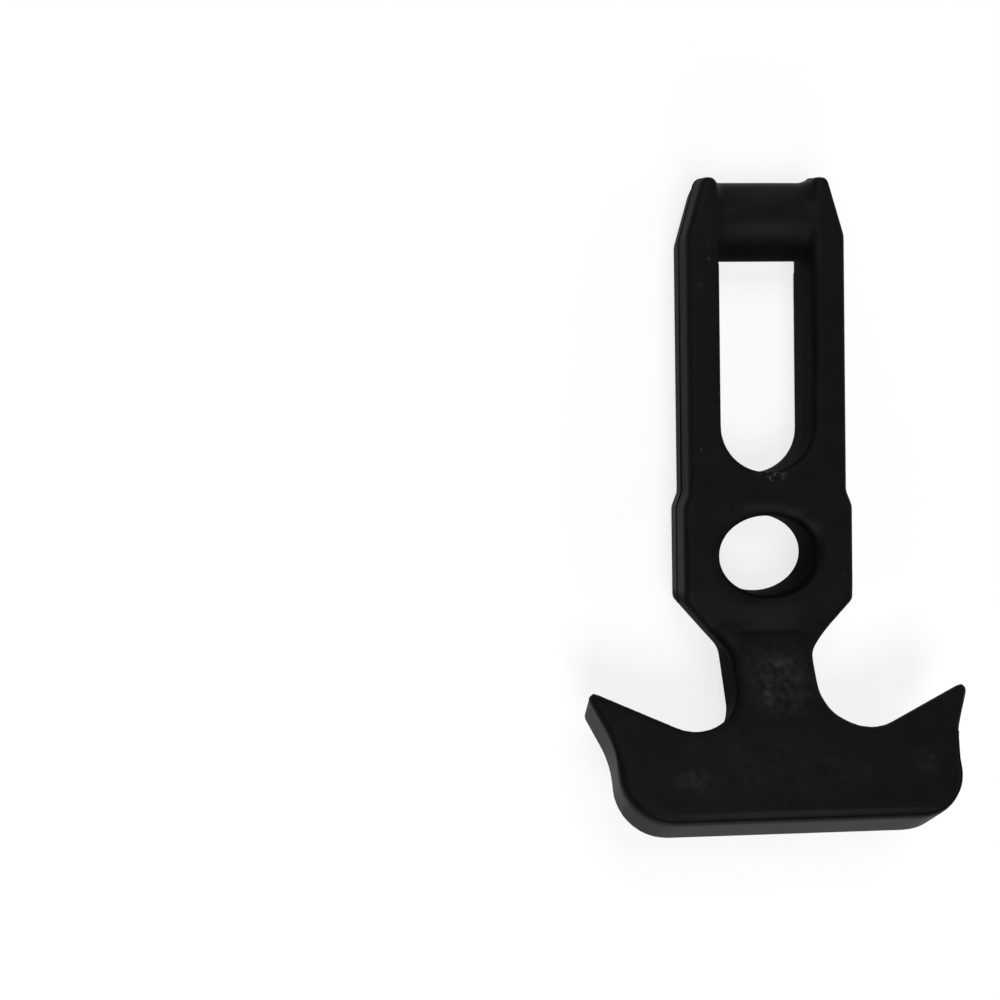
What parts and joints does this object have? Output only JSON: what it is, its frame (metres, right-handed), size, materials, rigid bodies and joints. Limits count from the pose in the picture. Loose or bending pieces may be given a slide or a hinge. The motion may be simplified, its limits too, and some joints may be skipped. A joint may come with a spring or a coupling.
{
  "type": "rubber t draw latch",
  "caption": "Moulded rubber pull strap for a draw latch: slotted strap with a cross barrel at its end, an oval eye and a bent T grip whose arms hook over a keeper.",
  "frame": {"origin": "middle of the outline seen from the front, on the plane of the strap's flat back", "axes": "+X across the strap along the barrel, +Y along the strap from the T grip to the barrel, +Z out of the strap's front face"},
  "size_m": [0.0774, 0.1342, 0.0331],
  "materials": {
    "rubber": "satin black moulded rubber, faintly scuffed"
  },
  "bodies": {
    "root": {"t_latch_strap": "rubber"}
  },
  "joints": []
}
